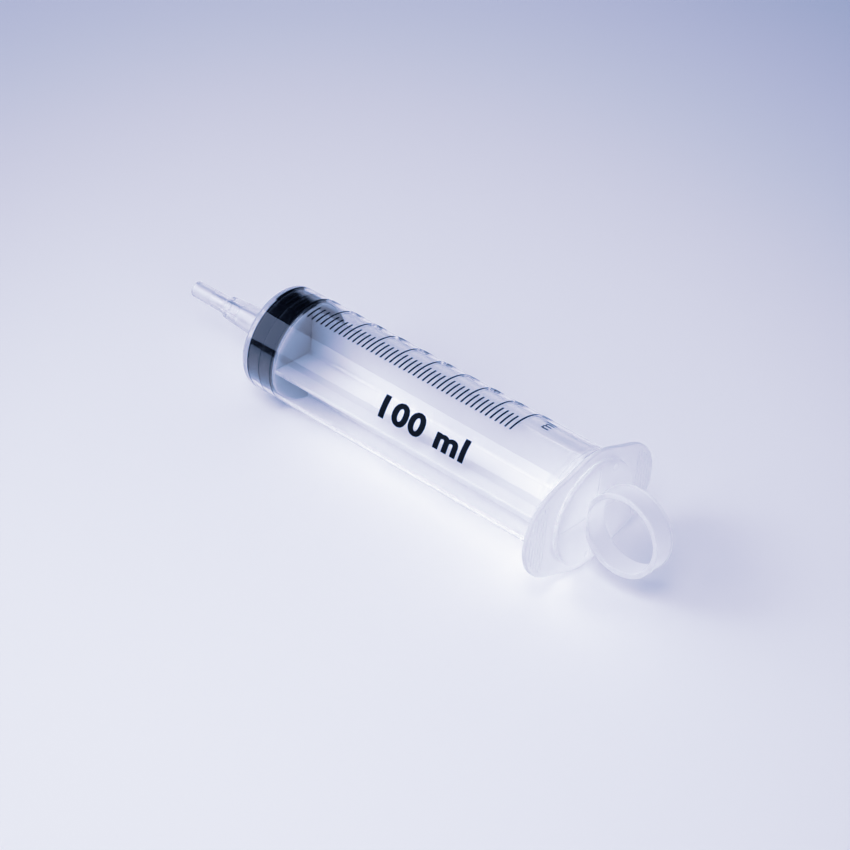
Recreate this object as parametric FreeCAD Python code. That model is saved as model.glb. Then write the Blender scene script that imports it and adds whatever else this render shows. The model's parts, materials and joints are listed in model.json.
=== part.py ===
import FreeCAD, Part
import math
import os

V = FreeCAD.Vector

# A 100 ml irrigation syringe with a stepped catheter nozzle and a thumb ring,
# pushed fully in and lying on its side.
#
# It is drawn on its own axis: x = 0 is the front face of the barrel, +x runs
# back to the thumb ring, y is the long direction of the finger flange and z
# its short direction. At the end it is rolled and tipped into the attitude it
# lies in on a flat surface, with its box centred over the origin.
# All lengths are millimetres.

# ---- barrel ---------------------------------------------------------------
BORE_R = 17.70            # inside radius of the barrel
BARREL_R = 18.90          # outside radius, a 1.2 mm wall
END_WALL = 2.20           # thickness of the front wall
FRONT_FILLET = 1.80       # rounding of the outer front edge
INNER_FILLET = 0.20       # rounding of the floor of the bore
FLANGE_X0 = 133.20        # front face of the finger flange
FLANGE_X1 = 135.00        # rear face, also the mouth of the barrel
FLANGE_HUB_R = 21.45      # half width of the flange across the short direction
FLANGE_TIP_R = 17.00      # radius of the rounded wing tips
FLANGE_TIP_Y = 14.40      # distance of the tip centres from the axis
FLANGE_EDGE = 0.45        # rounding of the flange edges
ROOT_FILLET = 0.90        # fillet between barrel and flange
STOP_BEAD_X = 130.00      # bead inside the mouth that keeps the stopper in
STOP_BEAD_R = 17.40
STOP_BEAD_HALF = 0.90
GRIP_Y = (22.5, 23.9, 25.3, 26.7, 28.1, 29.5)   # grip ridges on each wing
GRIP_H = 0.18
GRIP_W = 0.60

# ---- nozzle, moulded in one with the barrel -------------------------------
TIP_X = -40.30            # end of the nozzle
STEP_X = -24.30           # shoulder between the thin and the thick part
TIP_R = 2.85              # thin cone at its end
TIP_ROUND = 0.50          # rounding of the end
THIN_R = 3.05             # thin cone at the shoulder
THICK_R = 4.00            # thick cone at the shoulder
ROOT_R = 5.80             # thick cone where it meets the barrel
CHANNEL_TIP_R = 1.30      # fluid channel
CHANNEL_MID_R = 1.50
CHANNEL_ROOT_R = 2.00

# ---- stopper --------------------------------------------------------------
STOPPER_X0 = 2.40
STOPPER_X1 = 13.35
LIP_R = 17.65             # sealing lips, 0.05 mm under the bore
WAIST_R = 17.15           # between the lips
CAVITY_X0 = 5.20          # pocket that holds the head of the plunger
CAVITY_R = 12.00
NECK_X0 = 9.40
NECK_HOLE_R = 8.00

# ---- plunger rod ----------------------------------------------------------
HEAD_X0 = 5.30
HEAD_X1 = 9.30
HEAD_R = 11.93
NECK_R = 7.93
FRONT_DISC_X0 = 13.45
FRONT_DISC_X1 = 14.85
FRONT_DISC_R = 17.30
RIB_HALF = 17.10          # half width of the crossed ribs
RIB_T = 1.40              # their thickness
RIB_ROOT = 1.20           # fillet where they cross
THUMB_DISC_X0 = 135.20
THUMB_DISC_X1 = 136.90
THUMB_DISC_R = 18.50
DISC_BEAD_W = 0.90        # low beads across the rear of the thumb disc
DISC_BEAD_H = 0.20
RING_X = 149.90           # centre of the thumb ring
RING_R = 14.40            # over the rims
RING_WAIST_R = 14.12      # between the rims
RING_HOLE_R = 12.50
RING_W = 8.20
RIM_W = 0.80

# ---- attitude at rest -----------------------------------------------------
ROLL_DEG = -7.0           # the far wing of the flange is the lower one

# lowest points: the rounded front edge of the barrel and the rounded front
# edge of the flange; both touch the surface after the tip angle is applied
_a = (FLANGE_X0 + FLANGE_EDGE) - FRONT_FILLET
_b = (FLANGE_HUB_R - FLANGE_EDGE) - (BARREL_R - FRONT_FILLET)
_c = FRONT_FILLET - FLANGE_EDGE
TIP_RAD = math.atan2(_b, _a) - math.asin(_c / math.hypot(_a, _b))
TIP_DEG = math.degrees(TIP_RAD)


def rounded_loop(points, to3d):
    """Closed wire through (a, b, fillet) corners, each corner rounded."""
    n = len(points)
    cuts = []
    for i in range(n):
        ax, ay, _ = points[i - 1]
        bx, by, f = points[i]
        cx, cy, _ = points[(i + 1) % n]
        u = (ax - bx, ay - by)
        w = (cx - bx, cy - by)
        lu, lw = math.hypot(*u), math.hypot(*w)
        u = (u[0] / lu, u[1] / lu)
        w = (w[0] / lw, w[1] / lw)
        if f <= 0:
            cuts.append(((bx, by), None, (bx, by)))
            continue
        dot = max(-1.0, min(1.0, u[0] * w[0] + u[1] * w[1]))
        half = math.acos(dot) / 2.0
        t = f / math.tan(half)
        p = (bx + u[0] * t, by + u[1] * t)
        q = (bx + w[0] * t, by + w[1] * t)
        bis = (u[0] + w[0], u[1] + w[1])
        lb = math.hypot(*bis)
        bis = (bis[0] / lb, bis[1] / lb)
        d = f / math.sin(half) - f
        m = (bx + bis[0] * d, by + bis[1] * d)
        cuts.append((p, m, q))
    edges = []
    for i in range(n):
        p, m, q = cuts[i]
        if m is not None:
            edges.append(Part.Arc(to3d(*p), to3d(*m), to3d(*q)).toShape())
        r = cuts[(i + 1) % n][0]
        if math.hypot(r[0] - q[0], r[1] - q[1]) > 1e-7:
            edges.append(Part.LineSegment(to3d(*q), to3d(*r)).toShape())
    return Part.Wire(edges)


def turned(points):
    """Solid of revolution about the syringe axis from (x, r, fillet) corners."""
    wire = rounded_loop(points, lambda a, b: V(a, b, 0))
    return Part.Face(wire).revolve(V(0, 0, 0), V(1, 0, 0), 360)


def bead(x, y0, z0, y1, z1, width, height):
    """Low rounded bead on a face that looks along +x, from one point to another."""
    length = math.hypot(y1 - y0, z1 - z0)
    radius = (width * width / 4.0 + height * height) / (2.0 * height)
    rod = Part.makeCylinder(radius, length, V(x + height - radius, y0, z0),
                            V(0, y1 - y0, z1 - z0))
    slab = Part.makeBox(1.0, 200, 200, V(x - 0.3, -100, -100))
    return rod.common(slab)


# ---------------------------------------------------------------- barrel ---
def make_barrel():
    tube = turned([
        (TIP_X, CHANNEL_TIP_R, 0.15),
        (TIP_X, TIP_R, TIP_ROUND),
        (STEP_X, THIN_R, 0.12),
        (STEP_X, THICK_R - 0.30, 0.10),
        (STEP_X + 0.65, THICK_R, 0.30),
        (0.0, ROOT_R, 0.80),
        (0.0, BARREL_R, FRONT_FILLET),
        (FLANGE_X0, BARREL_R, ROOT_FILLET),
        (FLANGE_X0, FLANGE_HUB_R - 1.4, 0),
        (FLANGE_X1, FLANGE_HUB_R - 1.4, 0),
        (FLANGE_X1, BORE_R + 0.35, 0.2),
        (FLANGE_X1 - 0.9, BORE_R, 0.3),
        (STOP_BEAD_X + STOP_BEAD_HALF + 0.5, BORE_R, 0.5),
        (STOP_BEAD_X + STOP_BEAD_HALF - 0.5, STOP_BEAD_R, 0.4),
        (STOP_BEAD_X - STOP_BEAD_HALF + 0.5, STOP_BEAD_R, 0.4),
        (STOP_BEAD_X - STOP_BEAD_HALF - 0.5, BORE_R, 0.5),
        (END_WALL, BORE_R, INNER_FILLET),
        (END_WALL, CHANNEL_ROOT_R + 0.4, 0.2),
        (END_WALL - 0.6, CHANNEL_ROOT_R, 0.2),
        (STEP_X + 0.3, CHANNEL_MID_R, 0.2),
        (STEP_X - 1.0, CHANNEL_TIP_R, 0.2),
    ])

    # flange plate: the hull of the hub circle and the two wing tips
    s = (FLANGE_HUB_R - FLANGE_TIP_R) / FLANGE_TIP_Y
    c = math.sqrt(1.0 - s * s)
    x = FLANGE_X0

    def hub(sy, sz):
        return V(x, sy * FLANGE_HUB_R * s, sz * FLANGE_HUB_R * c)

    def tip(sy, sz):
        return V(x, sy * (FLANGE_TIP_Y + FLANGE_TIP_R * s), sz * FLANGE_TIP_R * c)

    end = FLANGE_TIP_Y + FLANGE_TIP_R
    outline = Part.Wire([
        Part.Arc(tip(1, -1), V(x, end, 0), tip(1, 1)).toShape(),
        Part.LineSegment(tip(1, 1), hub(1, 1)).toShape(),
        Part.Arc(hub(1, 1), V(x, 0, FLANGE_HUB_R), hub(-1, 1)).toShape(),
        Part.LineSegment(hub(-1, 1), tip(-1, 1)).toShape(),
        Part.Arc(tip(-1, 1), V(x, -end, 0), tip(-1, -1)).toShape(),
        Part.LineSegment(tip(-1, -1), hub(-1, -1)).toShape(),
        Part.Arc(hub(-1, -1), V(x, 0, -FLANGE_HUB_R), hub(1, -1)).toShape(),
        Part.LineSegment(hub(1, -1), tip(1, -1)).toShape(),
    ])
    plate = Part.Face(outline).extrude(V(FLANGE_X1 - FLANGE_X0, 0, 0))
    rims = [e for e in plate.Edges
            if abs(e.BoundBox.XMax - e.BoundBox.XMin) < 1e-6]
    plate = plate.makeFillet(FLANGE_EDGE, rims)
    plate = plate.cut(Part.makeCylinder(BARREL_R + 0.4, 10, V(x - 4, 0, 0), V(1, 0, 0)))

    body = tube.fuse(plate).removeSplitter()

    # grip ridges across the rear face of the wings
    ridges = []
    for side in (-1, 1):
        for gy in GRIP_Y:
            room = math.sqrt(max(0.0, FLANGE_TIP_R ** 2 - (gy - FLANGE_TIP_Y) ** 2)) - 2.3
            room = min(room, 12.0)
            if room < 1.0:
                continue
            ridges.append(bead(FLANGE_X1, side * gy, -room, side * gy, room, GRIP_W, GRIP_H))
    return body.fuse(ridges).removeSplitter()


# --------------------------------------------------------------- stopper ---
def make_stopper():
    return turned([
        (STOPPER_X0, 0, 0),
        (STOPPER_X0, LIP_R - 0.15, 0.12),
        (STOPPER_X0 + 0.15, LIP_R, 0.1),
        (STOPPER_X0 + 0.75, LIP_R, 0.15),
        (STOPPER_X0 + 1.25, WAIST_R, 0.25),
        (7.35, WAIST_R, 0.25),
        (7.70, LIP_R, 0.10),
        (8.10, LIP_R, 0.10),
        (8.45, WAIST_R, 0.25),
        (12.35, WAIST_R, 0.25),
        (12.70, LIP_R, 0.10),
        (STOPPER_X1 - 0.15, LIP_R, 0.1),
        (STOPPER_X1, LIP_R - 0.20, 0.1),
        (STOPPER_X1, NECK_HOLE_R, 0.15),
        (NECK_X0, NECK_HOLE_R, 0.15),
        (NECK_X0, CAVITY_R, 0.3),
        (CAVITY_X0, CAVITY_R, 0.3),
        (CAVITY_X0, 0, 0),
    ])


# ----------------------------------------------------------- plunger rod ---
def make_rod():
    head = turned([
        (HEAD_X0, 0, 0),
        (HEAD_X0, HEAD_R, 0.5),
        (HEAD_X1, HEAD_R, 0.5),
        (HEAD_X1, NECK_R, 0.2),
        (FRONT_DISC_X0, NECK_R, 0.1),
        (FRONT_DISC_X0, FRONT_DISC_R, 0.3),
        (FRONT_DISC_X1, FRONT_DISC_R, 0.3),
        (FRONT_DISC_X1, 0, 0),
    ])

    # crossed ribs, one section from the front disc to the thumb disc
    h, t = RIB_HALF, RIB_T / 2.0
    corners = [
        (t, t, RIB_ROOT), (h, t, 0.35), (h, -t, 0.35),
        (t, -t, RIB_ROOT), (t, -h, 0.35), (-t, -h, 0.35),
        (-t, -t, RIB_ROOT), (-h, -t, 0.35), (-h, t, 0.35),
        (-t, t, RIB_ROOT), (-t, h, 0.35), (t, h, 0.35),
    ]
    x0 = FRONT_DISC_X1 - 0.5
    x1 = THUMB_DISC_X0 + 0.5
    section = rounded_loop(corners, lambda a, b: V(x0, a, b))
    cross = Part.Face(section).extrude(V(x1 - x0, 0, 0))

    disc = turned([
        (THUMB_DISC_X0, 0, 0),
        (THUMB_DISC_X0, THUMB_DISC_R, 0.5),
        (THUMB_DISC_X1, THUMB_DISC_R, 0.7),
        (THUMB_DISC_X1, 0, 0),
    ])

    half = RING_W / 2.0
    ring_wire = rounded_loop([
        (-half, RING_HOLE_R, 0.35),
        (-half, RING_R, 0.35),
        (-half + RIM_W, RING_R, 0),
        (-half + RIM_W + 0.3, RING_WAIST_R, 0),
        (half - RIM_W - 0.3, RING_WAIST_R, 0),
        (half - RIM_W, RING_R, 0),
        (half, RING_R, 0.35),
        (half, RING_HOLE_R, 0.35),
    ], lambda a, b: V(RING_X + b, a, 0))
    ring = Part.Face(ring_wire).revolve(V(RING_X, 0, 0), V(0, 1, 0), 360)

    rod = head.fuse([cross, disc, ring])

    # low beads over the ribs on the rear of the thumb disc
    reach = RIB_HALF
    beads = []
    for side in (-1, 1):
        beads.append(bead(THUMB_DISC_X1, side * 3.0, 0, side * reach, 0,
                          DISC_BEAD_W, DISC_BEAD_H))
        beads.append(bead(THUMB_DISC_X1, 0, side * 4.5, 0, side * reach,
                          DISC_BEAD_W, DISC_BEAD_H))
    rod = rod.fuse(beads).removeSplitter()
    return rod


barrel = make_barrel()
stopper = make_stopper()
rod = make_rod()

# ------------------------------------------------------------- placement ---
roll = FreeCAD.Placement(V(0, 0, 0), FreeCAD.Rotation(V(1, 0, 0), ROLL_DEG))
pitch = FreeCAD.Placement(V(0, 0, 0), FreeCAD.Rotation(V(0, 1, 0), -TIP_DEG))
turn = pitch.multiply(roll)

# ends of the box along x, from the rounded rims of the nozzle tip and the ring
ct, st = math.cos(TIP_RAD), math.sin(TIP_RAD)
tip_x = (TIP_X + TIP_ROUND) * ct - (TIP_R - TIP_ROUND) * st - TIP_ROUND
rise = RING_R - 0.35
ring_x = RING_X * ct + rise + 0.35
floor_z = FRONT_FILLET * st - (BARREL_R - FRONT_FILLET) * ct - FRONT_FILLET
shift = V(-(tip_x + ring_x) / 2.0, 0, -floor_z)
rest = FreeCAD.Placement(shift, FreeCAD.Rotation()).multiply(turn)

os.makedirs("parts", exist_ok=True)
nodes = {"barrel": barrel, "stopper": stopper, "plunger_rod": rod}
for name, shape in nodes.items():
    shape = shape.copy()
    if shape.ShapeType == "Compound" and len(shape.Solids) == 1:
        shape = shape.Solids[0]
    placed = shape.transformed(rest.toMatrix(), True)
    nodes[name] = placed
    placed.exportStep("parts/%s.step" % name)
    bb = placed.optimalBoundingBox(False, False)
    print(name, placed.ShapeType, "solids", len(placed.Solids), "valid", placed.isValid(),
          "volume %.1f" % placed.Volume,
          "x %.3f..%.3f y %.3f..%.3f z %.3f..%.3f" % (
              bb.XMin, bb.XMax, bb.YMin, bb.YMax, bb.ZMin, bb.ZMax))

print("tip angle %.4f deg" % TIP_DEG, "shift", shift)
for label, p in {
    "axis at front face": V(0, 0, 0), "axis at ring centre": V(RING_X, 0, 0),
    "nozzle tip": V(TIP_X, 0, 0), "stopper mid": V(8, 0, 0),
}.items():
    q = rest.multVec(p)
    print(label, "%.4f %.4f %.4f" % (q.x, q.y, q.z))
for label, d in {"axis": V(1, 0, 0), "long": V(0, 1, 0), "short": V(0, 0, 1)}.items():
    q = rest.Rotation.multVec(d)
    print("direction", label, "%.6f %.6f %.6f" % (q.x, q.y, q.z))
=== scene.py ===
import json
import math

import bmesh
import bpy
import numpy as np
from mathutils import Matrix, Vector

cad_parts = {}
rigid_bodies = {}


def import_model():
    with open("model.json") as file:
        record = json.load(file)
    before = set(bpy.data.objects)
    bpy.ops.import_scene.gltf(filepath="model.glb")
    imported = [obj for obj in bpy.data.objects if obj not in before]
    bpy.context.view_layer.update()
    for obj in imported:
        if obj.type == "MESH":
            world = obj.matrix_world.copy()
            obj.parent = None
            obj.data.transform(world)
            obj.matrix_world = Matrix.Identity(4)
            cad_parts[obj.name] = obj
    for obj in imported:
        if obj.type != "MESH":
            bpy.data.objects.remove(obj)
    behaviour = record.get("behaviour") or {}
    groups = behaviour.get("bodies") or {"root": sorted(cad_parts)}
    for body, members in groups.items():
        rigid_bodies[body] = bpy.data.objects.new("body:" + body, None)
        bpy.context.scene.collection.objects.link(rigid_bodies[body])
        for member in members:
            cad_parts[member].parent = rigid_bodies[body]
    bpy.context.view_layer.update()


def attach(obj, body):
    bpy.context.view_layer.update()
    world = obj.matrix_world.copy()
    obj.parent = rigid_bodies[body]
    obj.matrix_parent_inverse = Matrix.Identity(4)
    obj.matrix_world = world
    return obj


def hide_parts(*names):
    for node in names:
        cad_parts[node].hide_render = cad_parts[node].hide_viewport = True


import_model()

scene = bpy.context.scene

# ---------------------------------------------------------------------------
# Dimensions in millimetres, on the syringe's own axis: x = 0 is the front face
# of the barrel, +x runs back to the thumb ring, y is the long direction of the
# finger flange and z its short direction.
# ---------------------------------------------------------------------------
BORE_R, BARREL_R = 17.70, 18.90
END_WALL, FRONT_FILLET = 2.20, 1.80
FLANGE_X0, FLANGE_X1 = 133.20, 135.00
HUB_R, WING_R, WING_Y = 21.45, 17.00, 14.40
FLANGE_EDGE, ROOT_FILLET = 0.45, 0.90
STOP_X, STOP_R, STOP_HALF = 130.00, 17.40, 0.90
GRIP_Y = (22.5, 23.9, 25.3, 26.7, 28.1, 29.5)
GRIP_H, GRIP_W = 0.17, 0.60

TIP_X, STEP_X = -40.30, -24.30
TIP_R, THIN_R, THICK_R, ROOT_R = 2.85, 3.05, 4.00, 5.80
TIP_ROUND = 0.50
CH_TIP, CH_MID, CH_ROOT = 1.30, 1.50, 2.00

ST_X0, ST_X1 = 2.40, 13.35
LIP_R, WAIST_R = 17.65, 17.15
CAV_X, CAV_R, NECK_X, NECK_HOLE = 5.20, 12.00, 9.40, 8.00

HEAD_X0, HEAD_X1, HEAD_R, NECK_R = 5.30, 9.30, 11.93, 7.93
FD_X0, FD_X1, FD_R = 13.45, 14.85, 17.30
RIB_HALF, RIB_T, RIB_ROOT = 17.10, 1.40, 1.20
TD_X0, TD_X1, TD_R = 135.20, 136.90, 18.50
BEAD_W, BEAD_H = 0.90, 0.19
RING_X, RING_R, RING_WAIST, RING_HOLE, RING_W, RIM_W = 149.90, 14.40, 14.12, 12.50, 8.20, 0.80

# attitude at rest, as in the CAD model
ROLL = math.radians(-7.0)
_a = (FLANGE_X0 + FLANGE_EDGE) - FRONT_FILLET
_b = (HUB_R - FLANGE_EDGE) - (BARREL_R - FRONT_FILLET)
_c = FRONT_FILLET - FLANGE_EDGE
TIP = math.atan2(_b, _a) - math.asin(_c / math.hypot(_a, _b))
ct, st = math.cos(TIP), math.sin(TIP)
_tip_x = (TIP_X + TIP_ROUND) * ct - (TIP_R - TIP_ROUND) * st - TIP_ROUND
_ring_x = RING_X * ct + RING_R
_floor = FRONT_FILLET * st - (BARREL_R - FRONT_FILLET) * ct - FRONT_FILLET
REST = (Matrix.Translation((-(_tip_x + _ring_x) / 2, 0, -_floor))
        @ Matrix.Rotation(-TIP, 4, "Y") @ Matrix.Rotation(ROLL, 4, "X"))
WORLD = Matrix.Scale(0.001, 4) @ REST          # own axis in mm -> frame in metres
W_np = np.array(WORLD)


# ---------------------------------------------------------------------------
# Mesh tools
# ---------------------------------------------------------------------------
def rounded(points, closed=True, seg=6):
    """Corners (a, b, radius) -> list of (a, b) with each corner as a short arc."""
    out, n = [], len(points)
    for i, (bx, by, f) in enumerate(points):
        if f <= 0 or (not closed and i in (0, n - 1)):
            out.append((bx, by))
            continue
        ax, ay, _ = points[i - 1]
        cx, cy, _ = points[(i + 1) % n]
        u, w = Vector((ax - bx, ay - by)), Vector((cx - bx, cy - by))
        u.normalize()
        w.normalize()
        half = math.acos(max(-1.0, min(1.0, u.dot(w)))) / 2
        t = f / math.tan(half)
        centre = Vector((bx, by)) + (u + w).normalized() * (f / math.sin(half))
        p = Vector((bx, by)) + u * t - centre
        q = Vector((bx, by)) + w * t - centre
        a0 = math.atan2(p.y, p.x)
        turn = math.atan2(q.y, q.x) - a0
        turn = (turn + math.pi) % (2 * math.pi) - math.pi
        m = max(2, int(math.ceil(seg * abs(turn) / (math.pi / 2))))
        for k in range(m + 1):
            a = a0 + turn * k / m
            out.append((centre.x + f * math.cos(a), centre.y + f * math.sin(a)))
    return out


def new_object(name, verts, faces, sharp=32.0, world=True):
    verts = np.asarray(verts, float)
    if world:
        verts = verts @ W_np[:3, :3].T + W_np[:3, 3]
    mesh = bpy.data.meshes.new(name)
    mesh.from_pydata([tuple(v) for v in verts], [], faces)
    ob = bpy.data.objects.new(name, mesh)
    scene.collection.objects.link(ob)
    bm = bmesh.new()
    bm.from_mesh(mesh)
    bmesh.ops.remove_doubles(bm, verts=bm.verts, dist=1e-7)
    bmesh.ops.recalc_face_normals(bm, faces=bm.faces)
    bm.to_mesh(mesh)
    bm.free()
    smooth(mesh, sharp)
    return ob


def smooth(mesh, sharp=32.0):
    mesh.polygons.foreach_set("use_smooth", [True] * len(mesh.polygons))
    mesh.set_sharp_from_angle(angle=math.radians(sharp))
    mesh.update()


def stitch(rings, closed):
    """Faces between rows of equally many points; a row of one point is a pole."""
    verts, start, faces = [], [], []
    for r in rings:
        start.append(len(verts))
        verts += [tuple(p) for p in r]
    n = max(len(r) for r in rings)
    count = len(rings)
    for i in range(count if closed else count - 1):
        a, b = rings[i], rings[(i + 1) % count]
        sa, sb = start[i], start[(i + 1) % count]
        for j in range(n):
            k = (j + 1) % n
            if len(a) == 1:
                faces.append((sa, sb + j, sb + k))
            elif len(b) == 1:
                faces.append((sa + j, sb, sa + k))
            else:
                faces.append((sa + j, sb + j, sb + k, sa + k))
    return verts, faces


def circle(x, r, n):
    if r < 1e-6:
        return [(x, 0.0, 0.0)]
    return [(x, r * math.cos(2 * math.pi * j / n), r * math.sin(2 * math.pi * j / n)) for j in range(n)]


def subdivided(line, step):
    """Adds points on long straight stretches, so that quads stay compact."""
    out = [line[0]]
    for p in line[1:]:
        q = out[-1]
        d = math.hypot(p[0] - q[0], p[1] - q[1])
        m = max(1, int(d / step))
        for k in range(1, m + 1):
            out.append((q[0] + (p[0] - q[0]) * k / m, q[1] + (p[1] - q[1]) * k / m))
    return out


def union(base, others, sharp=32.0):
    """One closed mesh from overlapping closed meshes."""
    group = bpy.data.collections.new("operands")
    scene.collection.children.link(group)
    for o in others:
        group.objects.link(o)
        scene.collection.objects.unlink(o)
    m = base.modifiers.new("union", "BOOLEAN")
    m.operation, m.operand_type, m.solver = "UNION", "COLLECTION", "MANIFOLD"
    m.collection = group
    bpy.context.view_layer.update()
    dg = bpy.context.evaluated_depsgraph_get()
    mesh = bpy.data.meshes.new_from_object(base.evaluated_get(dg))
    base.modifiers.clear()
    old, base.data = base.data, mesh
    name = base.name
    bpy.data.meshes.remove(old)
    mesh.name = name
    for o in list(group.objects):
        bpy.data.objects.remove(o)
    bpy.data.collections.remove(group)
    tidy(mesh)
    smooth(mesh, sharp)
    return base


def tidy(mesh):
    """Closes up edges of no length and faces of no width where solids meet."""
    bm = bmesh.new()
    bm.from_mesh(mesh)
    bmesh.ops.dissolve_degenerate(bm, edges=bm.edges, dist=2e-6)
    inline = []
    for v in bm.verts:
        if len(v.link_edges) == 2:
            a, b = (e.other_vert(v).co - v.co for e in v.link_edges)
            if a.angle(b) > math.radians(178.5):
                inline.append(v)
    bmesh.ops.dissolve_verts(bm, verts=inline)
    bm.to_mesh(mesh)
    bm.free()


def bead_solid(name, x, p, q, width, height, sink=0.35):
    """A low rounded bead on a face that looks along +x, between two (y, z) points."""
    p, q = Vector(p), Vector(q)
    d = (q - p).normalized()
    s = Vector((-d.y, d.x))
    r = (width * width / 4 + height * height) / (2 * height)
    half = math.asin(min(1.0, width / 2 / r))
    section = [(-width / 2, -sink)]
    section += [(r * math.sin(a), height - r + r * math.cos(a))
                for a in np.linspace(-half, half, 9)]
    section += [(width / 2, -sink)]
    rows = []
    for t in (p, q):
        rows.append([(x + h, t.x + s.x * w, t.y + s.y * w) for w, h in section])
    verts, faces = stitch(rows, False)
    n = len(section)
    faces += [tuple(range(n)), tuple(range(2 * n - 1, n - 1, -1))]
    return new_object(name, verts, faces)


# ---------------------------------------------------------------------------
# Barrel with nozzle and finger flange
# ---------------------------------------------------------------------------
def flange_outline(n):
    """Point and outward normal of the flange's outline at n even angles."""
    s = (HUB_R - WING_R) / WING_Y
    c = math.sqrt(1 - s * s)
    pts = []
    for j in range(n):
        a = 2 * math.pi * j / n
        d = Vector((math.cos(a), math.sin(a)))
        sy, sz = (1 if d.x >= 0 else -1), (1 if d.y >= 0 else -1)
        ad = Vector((abs(d.x), abs(d.y)))
        best = None
        # hub arc
        if ad.x / max(ad.y, 1e-9) <= s / c + 1e-12:
            best = (ad * HUB_R, ad)
        else:
            # straight side: normal (s, c), offset HUB_R
            t = HUB_R / (ad.x * s + ad.y * c)
            p = ad * t
            if p.x <= WING_Y + WING_R * s:
                best = (p, Vector((s, c)))
            else:
                b = ad.x * WING_Y
                t = b + math.sqrt(max(0.0, b * b - WING_Y ** 2 + WING_R ** 2))
                p = ad * t
                best = (p, (p - Vector((WING_Y, 0))).normalized())
        p, nrm = best
        pts.append((Vector((p.x * sy, p.y * sz)), Vector((nrm.x * sy, nrm.y * sz))))
    return pts


def make_barrel(n=320):
    outer = rounded([
        (TIP_X, CH_TIP, 0.15), (TIP_X, TIP_R, TIP_ROUND),
        (STEP_X, THIN_R, 0.12), (STEP_X, THICK_R - 0.30, 0.10), (STEP_X + 0.65, THICK_R, 0.30),
        (0.0, ROOT_R, 0.80), (0.0, BARREL_R, FRONT_FILLET),
        (FLANGE_X0, BARREL_R, ROOT_FILLET), (FLANGE_X0, BARREL_R + 1.2, 0),
        (FLANGE_X0 + 0.9, BARREL_R + 1.2, 0),
        (FLANGE_X1, BARREL_R + 1.2, 0),
        (FLANGE_X1, BORE_R + 0.35, 0.2), (FLANGE_X1 - 0.9, BORE_R, 0.3),
        (STOP_X + STOP_HALF + 0.5, BORE_R, 0.5), (STOP_X + STOP_HALF - 0.5, STOP_R, 0.4),
        (STOP_X - STOP_HALF + 0.5, STOP_R, 0.4), (STOP_X - STOP_HALF - 0.5, BORE_R, 0.5),
        (END_WALL, BORE_R, 0.2), (END_WALL, CH_ROOT + 0.4, 0.2), (END_WALL - 0.6, CH_ROOT, 0.2),
        (STEP_X + 0.3, CH_MID, 0.2), (STEP_X - 1.0, CH_TIP, 0.2),
    ], seg=7)
    mark = [i for i, p in enumerate(outer) if abs(p[1] - (BARREL_R + 1.2)) < 1e-9]
    first, last = mark[0], mark[-1]
    line = flange_outline(n)
    rings = [circle(x, r, n) for x, r in subdivided(outer[:first + 1], 6.0)]

    def off(x, d):
        return [(x, (p - m * d).x, (p - m * d).y) for p, m in line]

    def between(x, t):
        inner = circle(x, BARREL_R + 1.2, n)
        edge = off(x, FLANGE_EDGE)
        return [(x, a[1] + (b[1] - a[1]) * t, a[2] + (b[2] - a[2]) * t) for a, b in zip(inner, edge)]

    e = FLANGE_EDGE
    for t in (0.25, 0.5, 0.75):
        rings.append(between(FLANGE_X0, t))
    for k in range(7):
        a = math.pi / 2 * k / 6
        rings.append(off(FLANGE_X0 + e * (1 - math.cos(a)), e * (1 - math.sin(a))))
    for k in range(7):
        a = math.pi / 2 * (1 - k / 6)
        rings.append(off(FLANGE_X1 - e * (1 - math.cos(a)), e * (1 - math.sin(a))))
    for t in (0.75, 0.5, 0.25):
        rings.append(between(FLANGE_X1, t))
    rings += [circle(x, r, n) for x, r in subdivided(outer[last:], 6.0)]
    verts, faces = stitch(rings, True)
    barrel = new_object("barrel_body", verts, faces)
    ridges = []
    for side in (-1, 1):
        for i, gy in enumerate(GRIP_Y):
            room = math.sqrt(max(0.0, WING_R ** 2 - (gy - WING_Y) ** 2)) - 2.3
            room = min(room, 12.0)
            if room > 1.0:
                ridges.append(bead_solid("ridge", FLANGE_X1, (side * gy, -room), (side * gy, room), GRIP_W, GRIP_H))
    return union(barrel, ridges)


# ---------------------------------------------------------------------------
# Stopper
# ---------------------------------------------------------------------------
def make_stopper(n=256):
    lip = BORE_R + 0.012           # pressed lightly into the bore
    line = rounded([
        (ST_X0, 0, 0), (ST_X0, lip - 0.15, 0.12), (ST_X0 + 0.15, lip, 0.10),
        (ST_X0 + 0.75, lip, 0.15), (ST_X0 + 1.25, WAIST_R, 0.25),
        (7.35, WAIST_R, 0.25), (7.70, lip, 0.10), (8.10, lip, 0.10), (8.45, WAIST_R, 0.25),
        (12.35, WAIST_R, 0.25), (12.70, lip, 0.10), (ST_X1 - 0.15, lip, 0.10), (ST_X1, lip - 0.20, 0.10),
        (ST_X1, NECK_HOLE, 0.15), (NECK_X, NECK_HOLE, 0.15), (NECK_X, CAV_R, 0.3),
        (CAV_X, CAV_R, 0.3), (CAV_X, 0, 0),
    ], closed=False, seg=5)
    verts, faces = stitch([circle(x, r, n) for x, r in line], False)
    return new_object("stopper_rubber", verts, faces)


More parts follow.
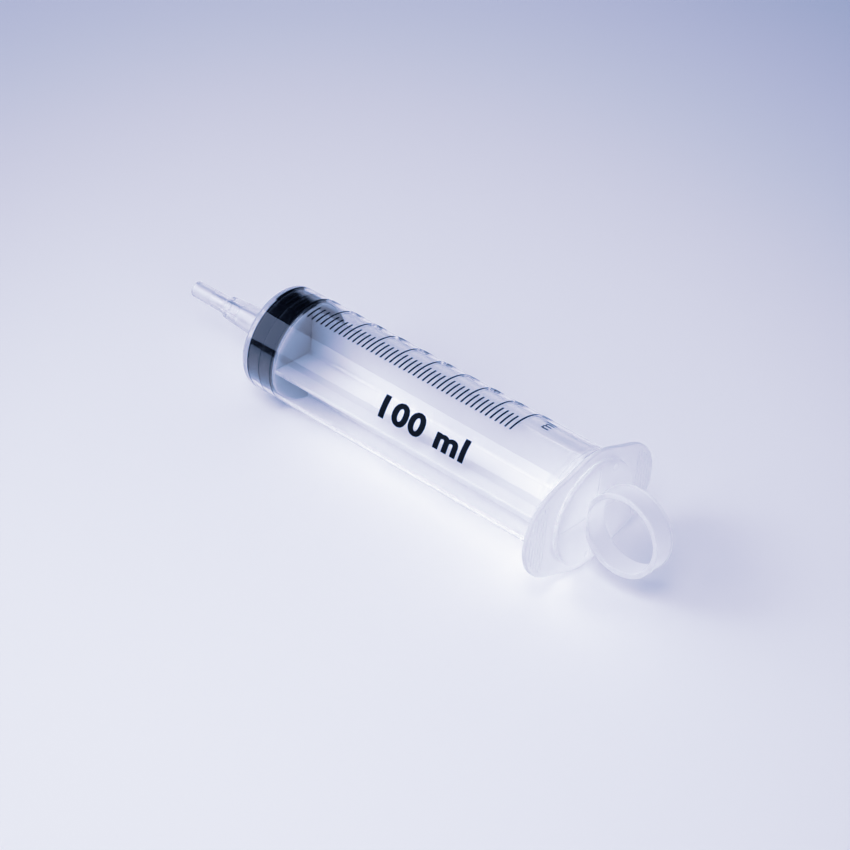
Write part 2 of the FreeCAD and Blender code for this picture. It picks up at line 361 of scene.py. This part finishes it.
# ---------------------------------------------------------------------------
# Plunger rod with thumb ring
# ---------------------------------------------------------------------------
def make_rod():
    n = 256
    head = rounded([
        (HEAD_X0, 0, 0), (HEAD_X0, HEAD_R, 0.5), (HEAD_X1, HEAD_R, 0.5), (HEAD_X1, NECK_R, 0.2),
        (FD_X0, NECK_R, 0.1), (FD_X0, FD_R, 0.3), (FD_X1, FD_R, 0.3), (FD_X1, 0, 0),
    ], closed=False, seg=5)
    verts, faces = stitch([circle(x, r, n) for x, r in head], False)
    rod = new_object("plunger_rod_body", verts, faces)

    h, t = RIB_HALF, RIB_T / 2
    section = rounded([
        (t, t, RIB_ROOT), (h, t, 0.35), (h, -t, 0.35),
        (t, -t, RIB_ROOT), (t, -h, 0.35), (-t, -h, 0.35),
        (-t, -t, RIB_ROOT), (-h, -t, 0.35), (-h, t, 0.35),
        (-t, t, RIB_ROOT), (-t, h, 0.35), (t, h, 0.35),
    ], seg=6)
    xs = np.linspace(FD_X1 - 0.5, TD_X0 + 0.5, 26)
    verts, faces = stitch([[(x, a, b) for a, b in section] for x in xs], False)
    m, k = len(section), len(xs)
    faces += [tuple(range(m)), tuple(range(m * (k - 1), m * k))]
    cross = new_object("cross", verts, faces)

    disc_line = rounded([(TD_X0, 0, 0), (TD_X0, TD_R, 0.5), (TD_X1, TD_R, 0.7), (TD_X1, 0, 0)],
                        closed=False, seg=7)
    verts, faces = stitch([circle(x, r, n) for x, r in disc_line], False)
    disc = new_object("disc", verts, faces)

    half = RING_W / 2
    ring_line = rounded([
        (-half, RING_HOLE, 0.35), (-half, RING_R, 0.35), (-half + RIM_W, RING_R, 0.15),
        (-half + RIM_W + 0.3, RING_WAIST, 0.3), (half - RIM_W - 0.3, RING_WAIST, 0.3),
        (half - RIM_W, RING_R, 0.15), (half, RING_R, 0.35), (half, RING_HOLE, 0.35),
    ], seg=5)
    rows = []
    for y, r in ring_line:
        rows.append([(RING_X + r * math.cos(2 * math.pi * j / n), y, r * math.sin(2 * math.pi * j / n))
                     for j in range(n)])
    verts, faces = stitch(rows, True)
    ring = new_object("ring", verts, faces)

    beads = []
    for side in (-1, 1):
        beads.append(bead_solid("bead", TD_X1, (side * 3.0, 0), (side * RIB_HALF, 0), BEAD_W, BEAD_H))
        beads.append(bead_solid("bead", TD_X1, (0, side * 4.5), (0, side * RIB_HALF), BEAD_W, BEAD_H))
    for cy, cz in ((7.4, 14.2), (-1.6, -15.0)):
        dot = rounded([(TD_X1 - 0.35, 0, 0), (TD_X1 - 0.35, 1.15, 0), (TD_X1 + 0.05, 1.15, 0.05),
                       (TD_X1 + 0.19, 0.85, 0.20), (TD_X1 + 0.19, 0, 0)], closed=False, seg=4)
        rows = [[(x, a + cy, b + cz) for x, a, b in circle(x, r, 40)] for x, r in dot]
        verts, faces = stitch(rows, False)
        beads.append(new_object("dot", verts, faces))
    return union(rod, [cross, disc, ring] + beads)


# ---------------------------------------------------------------------------
# Printing: flat shapes in (x, arc) millimetres, bent round the barrel
# ---------------------------------------------------------------------------
def bent_print(name, flat_verts, flat_faces, r0, r1, step=0.5):
    """flat_verts are (x, arc) where arc = angle * BARREL_R, angle from +y towards +z."""
    bm = bmesh.new()
    vs = [bm.verts.new((x, a, 0)) for x, a in flat_verts]
    for f in flat_faces:
        try:
            bm.faces.new([vs[i] for i in f])
        except ValueError:
            pass
    bmesh.ops.remove_doubles(bm, verts=bm.verts, dist=1e-4)
    lo = min(v.co.y for v in bm.verts)
    hi = max(v.co.y for v in bm.verts)
    y = math.floor(lo / step) * step
    while y < hi:
        geom = bm.verts[:] + bm.edges[:] + bm.faces[:]
        bmesh.ops.bisect_plane(bm, geom=geom, dist=1e-5, plane_co=(0, y, 0), plane_no=(0, 1, 0))
        y += step
    bmesh.ops.triangulate(bm, faces=bm.faces)
    bmesh.ops.dissolve_degenerate(bm, edges=bm.edges, dist=1e-5)
    bm.verts.index_update()
    pts = [(v.co.x, v.co.y / BARREL_R) for v in bm.verts]
    faces = [[v.index for v in f.verts] for f in bm.faces]
    border = [(e.verts[0].index, e.verts[1].index) for e in bm.edges if len(e.link_faces) == 1]
    bm.free()
    n = len(pts)
    verts = [(x, r1 * math.cos(a), r1 * math.sin(a)) for x, a in pts]
    verts += [(x, r0 * math.cos(a), r0 * math.sin(a)) for x, a in pts]
    out = [tuple(f) for f in faces] + [tuple(i + n for i in reversed(f)) for f in faces]
    out += [(i, j, j + n, i + n) for i, j in border]
    return new_object(name, verts, out, sharp=50)


def text_flat(body, size, offset=0.0, spacing=1.0):
    """The outline of some text as flat triangles, x to the right and y up."""
    cu = bpy.data.curves.new("text", "FONT")
    cu.body, cu.size, cu.offset, cu.space_character = body, size, offset, spacing
    cu.resolution_u = 4
    ob = bpy.data.objects.new("text", cu)
    scene.collection.objects.link(ob)
    bpy.context.view_layer.update()
    dg = bpy.context.evaluated_depsgraph_get()
    mesh = bpy.data.meshes.new_from_object(ob.evaluated_get(dg))
    verts = np.array([v.co[:2] for v in mesh.vertices], float)
    faces = [list(p.vertices) for p in mesh.polygons]
    bpy.data.objects.remove(ob)
    bpy.data.curves.remove(cu)
    bpy.data.meshes.remove(mesh)
    return verts, faces


class Flat:
    def __init__(self):
        self.v, self.f = [], []

    def add(self, verts, faces):
        k = len(self.v)
        self.v += [tuple(p) for p in verts]
        self.f += [[i + k for i in f] for f in faces]

    def bar(self, x, w, a0, a1):
        self.add([(x - w / 2, a0), (x + w / 2, a0), (x + w / 2, a1), (x - w / 2, a1)], [(0, 1, 2, 3)])


def deg(a):
    return math.radians(a) * BARREL_R


ML0, ML = 2.77, 1.0191
SIDE = 24.0                        # turn between the angles measured round the barrel and +y
TICK_LOW, TICK_SHORT, TICK_LONG = 132.7 - SIDE, 112.6 - SIDE, 89.4 - SIDE


def make_scale():
    flat = Flat()
    for m in range(0, 101, 2):
        x = ML0 + ML * m
        flat.bar(x, 0.64, deg(TICK_LONG if m % 10 == 0 else TICK_SHORT), deg(TICK_LOW))
    for m in range(10, 101, 10):
        v, f = text_flat(str(m), 5.3)
        v = v - np.array([v[:, 0].min(), 0.0])
        top = v[:, 1].max()
        x = ML0 + ML * m
        # glyphs stand up towards the nozzle, and read away from the marks
        pts = [(x - 0.3 + (top - q[1]), deg(TICK_LONG - 1.5) - q[0]) for q in v]
        flat.add(pts, f)
    v, f = text_flat("ml", 6.0)
    v = v - np.array([v[:, 0].min(), 0.0])
    top = v[:, 1].max()
    pts = [(109.8 + (top - q[1]), deg(110.5 - SIDE) - q[0]) for q in v]
    flat.add(pts, f)
    return bent_print("scale_print", flat.v, flat.f, BARREL_R - 0.02, BARREL_R + 0.03)


def make_capacity():
    flat = Flat()
    v, f = text_flat("100 ml", 10.2, offset=0.42, spacing=1.10)
    lo, hi = v.min(0), v.max(0)
    width = 36.0
    k = width / (hi[0] - lo[0])
    mid = (lo[1] + hi[1]) / 2
    pts = [(60.6 + (q[0] - lo[0]) * k, deg(174.0 - SIDE) - (q[1] - mid)) for q in v]
    flat.add(pts, f)
    return bent_print("capacity_print", flat.v, flat.f, BARREL_R - 0.02, BARREL_R + 0.03)


# ---------------------------------------------------------------------------
# Materials
# ---------------------------------------------------------------------------
class Nodes:
    def __init__(self, name):
        self.mat = bpy.data.materials.new(name)
        self.mat.use_nodes = True
        self.t = self.mat.node_tree
        self.t.nodes.clear()
        self.out = self.add("ShaderNodeOutputMaterial")

    def add(self, kind, **values):
        n = self.t.nodes.new(kind)
        for k, v in values.items():
            setattr(n, k, v)
        return n

    def link(self, a, b):
        self.t.links.new(a, b)


def put(node, **values):
    for k, v in values.items():
        node.inputs[k.replace("_", " ")].default_value = v


def noise(m, scale, detail=3.0, rough=0.5, stretch=(1, 1, 1)):
    co = m.add("ShaderNodeTexCoord")
    mp = m.add("ShaderNodeMapping")
    mp.inputs["Scale"].default_value = stretch
    m.link(co.outputs["Object"], mp.inputs["Vector"])
    t = m.add("ShaderNodeTexNoise")
    put(t, Scale=scale, Detail=detail, Roughness=rough)
    m.link(mp.outputs["Vector"], t.inputs["Vector"])
    return t


def ramp(m, source, lo, hi, v0, v1):
    r = m.add("ShaderNodeMapRange")
    r.inputs["From Min"].default_value = lo
    r.inputs["From Max"].default_value = hi
    r.inputs["To Min"].default_value = v0
    r.inputs["To Max"].default_value = v1
    m.link(source, r.inputs["Value"])
    return r


def clear_plastic(name, tint, smooth_r, frost_r, milk, through, wave, wave_scale, shade, frost_shade,
                  ior=1.49, stretch=(0.35, 1, 1)):
    """Moulded polypropylene. It is clear where the mesh attribute "frost" is 0 and milky where it is 1:
    milk is the share of light it scatters back, through the share it lets through in all
    directions. A faint waviness and a cloudy gloss run over all of it."""
    m = Nodes(name)
    p = m.add("ShaderNodeBsdfPrincipled")
    p.inputs["IOR"].default_value = ior
    p.inputs["Transmission Weight"].default_value = 1.0
    fr = m.add("ShaderNodeAttribute", attribute_name="frost")
    frost = fr.outputs["Fac"]
    n1 = noise(m, wave_scale, 2.0, 0.45, stretch)
    n2 = noise(m, 260.0, 3.0, 0.6, (0.5, 1, 1))

    def tone(color, spread):
        col = m.add("ShaderNodeMix", data_type="RGBA")
        col.inputs["A"].default_value = tuple(c * (1 - spread) for c in color) + (1,)
        col.inputs["B"].default_value = tuple(color) + (1,)
        m.link(n1.outputs["Fac"], col.inputs["Factor"])
        return col.outputs["Result"]

    m.link(tone(tint, 0.015), p.inputs["Base Color"])
    matte = m.add("ShaderNodeAttribute", attribute_name="matte")
    base = ramp(m, matte.outputs["Fac"], 0.0, 1.0, smooth_r, frost_r)
    vary = ramp(m, n2.outputs["Fac"], 0.3, 0.7, 0.90, 1.10)
    rough = m.add("ShaderNodeMath", operation="MULTIPLY")
    m.link(base.outputs["Result"], rough.inputs[0])
    m.link(vary.outputs["Result"], rough.inputs[1])
    m.link(rough.outputs["Value"], p.inputs["Roughness"])
    b = m.add("ShaderNodeBump")
    put(b, Strength=1.0, Distance=wave)
    m.link(n1.outputs["Fac"], b.inputs["Height"])
    m.link(b.outputs["Normal"], p.inputs["Normal"])
    back = m.add("ShaderNodeBsdfDiffuse")
    # painted highlight: where the "edge" attribute is 1, the back scatter is painted near white and takes up to
    # 0.85 of the surface
    edge = m.add("ShaderNodeAttribute", attribute_name="edge")
    white = m.add("ShaderNodeMix", data_type="RGBA")
    white.inputs["B"].default_value = PAINTED_HIGHLIGHT_WHITE + (1,)
    m.link(tone(SCATTER_BACK, 0.04), white.inputs["A"])
    m.link(edge.outputs["Fac"], white.inputs["Factor"])
    m.link(white.outputs["Result"], back.inputs["Color"])
    f0 = ramp(m, frost, 0.0, 1.0, milk[0], milk[1])
    f1 = m.add("ShaderNodeMapRange")
    f1.inputs["To Max"].default_value = 0.85
    m.link(f0.outputs["Result"], f1.inputs["To Min"])
    m.link(edge.outputs["Fac"], f1.inputs["Value"])
    mix1 = m.add("ShaderNodeMixShader")
    m.link(f1.outputs["Result"], mix1.inputs["Fac"])
    m.link(p.outputs["BSDF"], mix1.inputs[1])
    m.link(back.outputs["BSDF"], mix1.inputs[2])
    tl = m.add("ShaderNodeBsdfTranslucent")
    m.link(tone(SCATTER_ON, 0.03), tl.inputs["Color"])
    f2 = ramp(m, frost, 0.0, 1.0, through[0], through[1])
    mix2 = m.add("ShaderNodeMixShader")
    m.link(f2.outputs["Result"], mix2.inputs["Fac"])
    m.link(mix1.outputs["Shader"], mix2.inputs[1])
    m.link(tl.outputs["BSDF"], mix2.inputs[2])
    lp = m.add("ShaderNodeLightPath")
    tr = m.add("ShaderNodeBsdfTransparent")
    sc = m.add("ShaderNodeMix", data_type="RGBA")
    sc.inputs["A"].default_value = shade + (1,)
    sc.inputs["B"].default_value = frost_shade + (1,)
    dense = m.add("ShaderNodeMath", operation="POWER")
    dense.inputs[1].default_value = 2.0
    m.link(matte.outputs["Fac"], dense.inputs[0])
    m.link(dense.outputs["Value"], sc.inputs["Factor"])
    m.link(sc.outputs["Result"], tr.inputs["Color"])
    mix = m.add("ShaderNodeMixShader")
    m.link(lp.outputs["Is Shadow Ray"], mix.inputs["Fac"])
    m.link(mix2.outputs["Shader"], mix.inputs[1])
    m.link(tr.outputs["BSDF"], mix.inputs[2])
    m.link(mix.outputs["Shader"], m.out.inputs["Surface"])
    return m.mat


def paint(ob, name, fn):
    """A value on each vertex, from its place (x, y, z) on the syringe's own axis in mm."""
    inv = np.linalg.inv(W_np)
    co = np.empty(len(ob.data.vertices) * 3)
    ob.data.vertices.foreach_get("co", co)
    co = co.reshape(-1, 3) @ inv[:3, :3].T + inv[:3, 3]
    at = ob.data.attributes.new(name, "FLOAT", "POINT")
    at.data.foreach_set("value", np.clip(fn(co[:, 0], co[:, 1], co[:, 2]), 0, 1).astype(np.float32))


def rubber(name):
    m = Nodes(name)
    p = m.add("ShaderNodeBsdfPrincipled")
    put(p, IOR=1.50)
    wet = m.add("ShaderNodeAttribute", attribute_name="contact")
    n1 = noise(m, 420.0, 4.0, 0.6)
    n2 = noise(m, 60.0, 2.0, 0.5)
    col = m.add("ShaderNodeMix", data_type="RGBA")
    col.inputs["A"].default_value = (0.0008, 0.0010, 0.0016, 1)
    col.inputs["B"].default_value = (0.0018, 0.0022, 0.0034, 1)
    m.link(n2.outputs["Fac"], col.inputs["Factor"])
    m.link(col.outputs["Result"], p.inputs["Base Color"])
    r = ramp(m, n1.outputs["Fac"], 0.3, 0.7, 0.13, 0.18)
    m.link(r.outputs["Result"], p.inputs["Roughness"])
    b = m.add("ShaderNodeBump")
    put(b, Strength=0.5, Distance=0.00002)
    m.link(n1.outputs["Fac"], b.inputs["Height"])
    m.link(b.outputs["Normal"], p.inputs["Normal"])
    # where the lips press on the bore there is no air gap, so they lose their gloss
    flat = m.add("ShaderNodeBsdfDiffuse")
    flat.inputs["Color"].default_value = (0.0012, 0.0015, 0.0024, 1)
    mix = m.add("ShaderNodeMixShader")
    m.link(wet.outputs["Fac"], mix.inputs["Fac"])
    m.link(p.outputs["BSDF"], mix.inputs[1])
    m.link(flat.outputs["BSDF"], mix.inputs[2])
    m.link(mix.outputs["Shader"], m.out.inputs["Surface"])
    return m.mat


def ink(name, base):
    m = Nodes(name)
    p = m.add("ShaderNodeBsdfPrincipled")
    n1 = noise(m, 900.0, 3.0, 0.6)
    col = m.add("ShaderNodeMix", data_type="RGBA")
    col.inputs["A"].default_value = tuple(c * 0.75 for c in base) + (1,)
    col.inputs["B"].default_value = tuple(c * 1.3 for c in base) + (1,)
    m.link(n1.outputs["Fac"], col.inputs["Factor"])
    m.link(col.outputs["Result"], p.inputs["Base Color"])
    r = ramp(m, n1.outputs["Fac"], 0.3, 0.7, 0.42, 0.55)
    m.link(r.outputs["Result"], p.inputs["Roughness"])
    p.inputs["Specular IOR Level"].default_value = 0.08
    m.link(p.outputs["BSDF"], m.out.inputs["Surface"])
    return m.mat


def floor_material(name):
    m = Nodes(name)
    p = m.add("ShaderNodeBsdfPrincipled")
    put(p, Roughness=0.75)
    p.inputs["Specular IOR Level"].default_value = 0.15
    # painted light falloff: the table is painted darker well away from the syringe, as if the light on it faded
    # there
    co = m.add("ShaderNodeTexCoord")
    off = m.add("ShaderNodeVectorMath", operation="SUBTRACT")
    off.inputs[1].default_value = (0.05, -0.06, 0.0)
    m.link(co.outputs["Object"], off.inputs[0])
    parts = m.add("ShaderNodeCombineXYZ")
    for i, way in enumerate(((-0.67, 0.743, 0.0), (1.189, 1.072, 0.0))):
        dot = m.add("ShaderNodeVectorMath", operation="DOT_PRODUCT")
        dot.inputs[1].default_value = way
        m.link(off.outputs["Vector"], dot.inputs[0])
        m.link(dot.outputs["Value"], parts.inputs[i])
    far = m.add("ShaderNodeVectorMath", operation="LENGTH")
    m.link(parts.outputs["Vector"], far.inputs[0])
    fade = m.add("ShaderNodeMapRange", interpolation_type="SMOOTHSTEP")
    fade.inputs["From Min"].default_value = 0.20
    fade.inputs["From Max"].default_value = 0.55
    m.link(far.outputs["Value"], fade.inputs["Value"])
    col = m.add("ShaderNodeMix", data_type="RGBA")
    col.inputs["A"].default_value = FLOOR_COLOR + (1,)
    col.inputs["B"].default_value = FLOOR_PAINTED_DIM + (1,)
    m.link(fade.outputs["Result"], col.inputs["Factor"])
    m.link(col.outputs["Result"], p.inputs["Base Color"])
    m.link(p.outputs["BSDF"], m.out.inputs["Surface"])
    return m.mat


FLOOR_COLOR = (0.80, 0.80, 0.80)
# painted shade: the floor's colour well away from the syringe, where its light is made to fade
FLOOR_PAINTED_DIM = (0.58, 0.58, 0.58)
SCATTER_BACK = (0.86, 0.86, 0.86)
SCATTER_ON = (0.90, 0.90, 0.90)
# near white painted on rims, beads and ribs as painted highlight
PAINTED_HIGHLIGHT_WHITE = (0.99, 0.99, 0.99)
ROOM_PALE = (0.55, 0.55, 0.55)           # the room behind the camera is pale
ROOM_DARK = (0.004, 0.004, 0.004)        # and dark beyond the nozzle, in reflections
ROOM_THROUGH = (0.50, 0.50, 0.50)        # pale surroundings, seen through the plastic
ROOM_SOFT = (0.26, 0.26, 0.26)           # the soft light of the room

pp_barrel = clear_plastic("barrel_polypropylene", (0.995, 0.995, 0.995), 0.04, 0.36, (0.0004, 0.60), (0.0, 0.50),
                          0.000003, 70.0, (0.995, 0.995, 0.995), (0.62, 0.62, 0.62))
pp_rod = clear_plastic("rod_polypropylene", (0.985, 0.985, 0.985), 0.10, 0.36, (0.06, 0.60), (0.03, 0.50),
                       0.000005, 55.0, (0.985, 0.985, 0.985), (0.60, 0.60, 0.60))
black_rubber = rubber("stopper_black_rubber")
black_ink = ink("scale_black_ink", (0.0012, 0.0013, 0.0020))

barrel = make_barrel()
stopper = make_stopper()
rod = make_rod()
scale = make_scale()
capacity = make_capacity()


def step(v, lo, hi):
    t = np.clip((v - lo) / (hi - lo), 0, 1)
    return t * t * (3 - 2 * t)


paint(stopper, "contact", lambda x, y, z: np.hypot(y, z) > BORE_R - 0.02)
paint(barrel, "frost", lambda x, y, z: np.maximum.reduce([
    step(x, 132.6, 133.2), 0.45 * step(x, 128.8, 129.4), 0.45 * (1 - step(x, 0.9, 1.7)) * step(x, -1.5, -0.4),
    0.30 * (1 - step(x, -1.5, -0.4)) * (1 - 0.9 * ((x > STEP_X - 0.2) & (x < STEP_X + 0.8)))]))
paint(barrel, "matte", lambda x, y, z: np.maximum.reduce([
    step(x, 132.6, 133.2), 0.30 * (1 - step(x, 0.9, 1.7)), 0.40 * (1 - step(x, -1.5, -0.4))]))
def near(v, at, half):
    return np.clip(1 - np.abs(v - at) / half, 0, 1)


def rod_frost(x, y, z):
    r = np.hypot(y, z)
    front = 0.30 * step(x, 14.50, 14.84) * (r < 16.9)
    # painted highlight: a thin fully frosted band at the back of the front disc's rim, standing in for the bright
    # line along that edge
    line = 1.0 * step(x, 14.45, 14.70) * (r > 16.9) * (x < 14.9)
    return np.maximum.reduce([step(x, 134.6, 135.3), front, line,
                              (0.15 + 0.65 * step(x, 16.0, 50.0)) * step(x, 14.86, 16.5)])


# Painted highlights on the rod: near-white bands on the thumb ring's rim edges, the thumb disc's rim, its beads and
# dots, standing in for the light they catch. The ribs are painted brighter too, standing in for light that
# scattering would bring into them.
def rod_edge(x, y, z):
    r = np.hypot(y, z)
    q = np.hypot(x - RING_X, z)
    ring = (x > TD_X1 + 0.5) * (q < RING_R + 0.5)
    far = step(y, RING_W / 2 - RIM_W - 0.05, RING_W / 2 - RIM_W + 0.10)
    close = 0.5 * step(-y, RING_W / 2 - 0.45, RING_W / 2 - 0.30)
    lines = np.maximum(step(q, RING_R - 0.55, RING_R - 0.40), 1 - step(q, RING_HOLE + 0.30, RING_HOLE + 0.45))
    lines = lines * np.maximum(far, close)
    rim = (x > 134.9) * (x < TD_X1 + 0.05) * 0.6 * step(r, TD_R - 0.75, TD_R - 0.45)
    bead = 1.0 * step(x, TD_X1 + 0.03, TD_X1 + 0.10)
    ribs = 0.45 * step(x, 18.0, 50.0) * (x < 134.9)
    return np.where(ring, lines, np.maximum.reduce([rim, bead, ribs]))


paint(rod, "frost", rod_frost)
# painted highlights and brightened ribs on the rod
paint(rod, "edge", rod_edge)
paint(rod, "matte", lambda x, y, z: np.maximum.reduce([
    step(x, 134.6, 135.3), 0.10 * step(x, 12.0, 13.0), 0.40 * step(x, 14.86, 16.5)]))

for ob, mat, body, node, slot in (
    (barrel, pp_barrel, "barrel", "barrel", "barrel_plastic"),
    (stopper, black_rubber, "stopper", "stopper", "stopper_rubber"),
    (rod, pp_rod, "plunger_rod", "plunger_rod", "rod_plastic"),
    (scale, black_ink, "barrel", None, "scale_ink"),
    (capacity, black_ink, "barrel", None, "scale_ink"),
):
    ob.data.materials.clear()
    ob.data.materials.append(mat)
    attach(ob, body)
    if node:
        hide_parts(node)

# ---------------------------------------------------------------------------
# Floor, light, camera
# ---------------------------------------------------------------------------
floor = new_object("floor", [(-8, -8, 0), (8, -8, 0), (8, 8, 0), (-8, 8, 0)], [(0, 1, 2, 3)], world=False)
floor.data.materials.append(floor_material("pale_table"))

world = bpy.data.worlds.new("studio")
scene.world = world
world.use_nodes = True
wt = world.node_tree
wt.nodes.clear()
w_out = wt.nodes.new("ShaderNodeOutputWorld")


def sky(color):
    n = wt.nodes.new("ShaderNodeBackground")
    n.inputs["Color"].default_value = color + (1,)
    n.inputs["Strength"].default_value = 1.0
    return n


def w_link(a, b):
    wt.links.new(a, b)


w_dir = wt.nodes.new("ShaderNodeTexCoord")
w_xyz = wt.nodes.new("ShaderNodeSeparateXYZ")
w_side = wt.nodes.new("ShaderNodeMapRange")
w_side.interpolation_type = "SMOOTHSTEP"
w_side.inputs["From Min"].default_value = -0.34
w_side.inputs["From Max"].default_value = -0.12
w_link(w_dir.outputs["Generated"], w_xyz.inputs["Vector"])
w_link(w_xyz.outputs["X"], w_side.inputs["Value"])
w_low = wt.nodes.new("ShaderNodeMapRange")
w_low.interpolation_type = "SMOOTHSTEP"
w_low.inputs["From Min"].default_value = 0.30
w_low.inputs["From Max"].default_value = 0.12
w_link(w_xyz.outputs["Z"], w_low.inputs["Value"])
w_far = wt.nodes.new("ShaderNodeMapRange")
w_far.interpolation_type = "SMOOTHSTEP"
w_far.inputs["From Min"].default_value = -0.10
w_far.inputs["From Max"].default_value = 0.10
w_link(w_xyz.outputs["Y"], w_far.inputs["Value"])
w_edge = wt.nodes.new("ShaderNodeMath")
w_edge.operation = "MULTIPLY"
w_link(w_low.outputs["Result"], w_edge.inputs[0])
w_link(w_far.outputs["Result"], w_edge.inputs[1])
w_both = wt.nodes.new("ShaderNodeMath")
w_both.operation = "MAXIMUM"
w_link(w_side.outputs["Result"], w_both.inputs[0])
w_link(w_edge.outputs["Value"], w_both.inputs[1])
w_mix = wt.nodes.new("ShaderNodeMixShader")
w_link(w_both.outputs["Value"], w_mix.inputs["Fac"])
w_link(sky(ROOM_DARK).outputs["Background"], w_mix.inputs[1])
w_link(sky(ROOM_PALE).outputs["Background"], w_mix.inputs[2])
w_path = wt.nodes.new("ShaderNodeLightPath")
w_soft = wt.nodes.new("ShaderNodeMixShader")
w_link(w_path.outputs["Is Diffuse Ray"], w_soft.inputs["Fac"])
w_link(sky(ROOM_THROUGH).outputs["Background"], w_soft.inputs[1])
w_link(sky(ROOM_SOFT).outputs["Background"], w_soft.inputs[2])
w_depth = wt.nodes.new("ShaderNodeMath")
w_depth.operation = "GREATER_THAN"
w_depth.inputs[1].default_value = 0.5
w_link(w_path.outputs["Glossy Depth"], w_depth.inputs[0])
w_pick = wt.nodes.new("ShaderNodeMixShader")
w_link(w_depth.outputs["Value"], w_pick.inputs["Fac"])
w_link(w_soft.outputs["Shader"], w_pick.inputs[1])
w_link(w_mix.outputs["Shader"], w_pick.inputs[2])
w_link(w_pick.outputs["Shader"], w_out.inputs["Surface"])
world.cycles.sampling_method = "NONE"


def softbox(name, toward, along, distance, size_u, size_v, radiance, color=(1, 1, 1), target=(0.0, 0.0, 0.02)):
    """A rectangular lamp that faces the target. size_u runs as near to the direction along as it can."""
    d = Vector(toward).normalized()
    v = d.cross(Vector(along)).normalized()
    u = v.cross(d)
    lamp = bpy.data.lights.new(name, "AREA")
    lamp.shape, lamp.size, lamp.size_y = "RECTANGLE", size_u, size_v
    lamp.energy = radiance * math.pi * size_u * size_v
    lamp.color = color
    ob = bpy.data.objects.new(name, lamp)
    scene.collection.objects.link(ob)
    turn = Matrix((u, v, d)).transposed().to_4x4()
    ob.matrix_world = Matrix.Translation(Vector(target) + d * distance) @ turn
    ob.visible_transmission = False
    ob.visible_camera = False
    return ob


softbox("key", (-0.631, -0.557, 0.540), (1, 0, 0), 1.60, 1.90, 1.39, 2.20)


def pool(name, location, aim, power, radius, angle, blend, color):
    """A soft spot lamp that isn't seen in reflections."""
    lamp = bpy.data.lights.new(name, "SPOT")
    lamp.energy, lamp.color = power, color
    lamp.spot_size, lamp.spot_blend, lamp.shadow_soft_size = angle, blend, radius
    ob = bpy.data.objects.new(name, lamp)
    scene.collection.objects.link(ob)
    ob.location = Vector(location)
    ob.rotation_euler = (Vector(location) - Vector(aim)).to_track_quat("Z", "Y").to_euler()
    ob.visible_transmission = ob.visible_camera = ob.visible_glossy = False
    return ob


pool("fill", (0.25, -0.45, 1.10), (0.07, -0.09, 0.0), 22.0, 0.30, math.radians(50), 1.0, (1, 1, 1))
pool("side", (-1.36, -1.10, 1.35), (0.07, -0.07, 0.0), 36.0, 0.42, math.radians(35), 1.0, (1, 1, 1))
pool("front", (1.30, -0.50, 0.45), (0.08, 0.0, 0.02), 4.0, 0.25, math.radians(40), 1.0, (1, 1, 1))

# camera: the photograph's viewing angle. The measured frame of the syringe in
# camera axes (x right, y down, z forward), in barrel radii of 18.9 mm
e1 = Vector((-0.3446329060819641, 0.9072958007276707, 0.24092009054338967))
D = Vector((0.7436128965741502, 0.42049296068059805, -0.5198322133791511))
e2 = Vector((0.5729467864419019, 0.0, 0.8195925694550298))
P0 = Vector((-2.5837906201144287, -1.5950478672704418, 48.01957460193275)) * BARREL_R
a24 = math.radians(24.0)
up_ = -e1
Yl = e2 * math.cos(a24) + up_ * math.sin(a24)
Zl = -e2 * math.sin(a24) + up_ * math.cos(a24)
Rc = Matrix((D, Yl, Zl)).transposed()          # local -> camera (vision axes)
q = Rc.to_quaternion()
Rc = q.to_matrix()
Rw = REST.to_3x3()
cam_rot = Rw @ Rc.transposed() @ Matrix(((1, 0, 0), (0, -1, 0), (0, 0, -1)))
cam_pos = Rw @ (Rc.transposed() @ (-P0)) + REST.translation
cam_data = bpy.data.cameras.new("camera")
cam = bpy.data.objects.new("camera", cam_data)
scene.collection.objects.link(cam)
cam.matrix_world = Matrix.Translation(cam_pos * 0.001) @ cam_rot.to_4x4()
cam_data.sensor_width = 36.0
cam_data.lens = 36.0 * 2689.887 / 850.0
cam_data.clip_start, cam_data.clip_end = 0.01, 50.0
scene.camera = cam

scene.view_settings.view_transform = "Standard"
scene.view_settings.look = "None"

# the photograph's lavender grade: neutral greys (0 to 255) and what red and blue become
TONES = (13, 43, 81, 104, 149, 177, 192, 204, 221, 230)
RED = (9, 34, 68, 94, 131, 170, 187, 202, 219, 228)
BLUE = (21, 60, 107, 131, 186, 209, 217, 224, 235, 241)


def linear(v):
    v = v / 255
    return v / 12.92 if v <= 0.04045 else ((v + 0.055) / 1.055) ** 2.4


scene.view_settings.use_curve_mapping = True
curves = scene.view_settings.curve_mapping
for channel, values in ((0, RED), (2, BLUE)):
    for tone, value in zip(TONES, values):
        curves.curves[channel].points.new(linear(tone), linear(value))
curves.update()

scene.cycles.max_bounces = 28
scene.cycles.transmission_bounces = 28
scene.cycles.transparent_max_bounces = 32
scene.cycles.glossy_bounces = 8
scene.cycles.diffuse_bounces = 8
scene.cycles.caustics_refractive = True
scene.cycles.caustics_reflective = True
scene.cycles.blur_glossy = 0.5
scene.cycles.sample_clamp_indirect = 2.5
scene.cycles.use_denoising = True

bpy.context.view_layer.update()
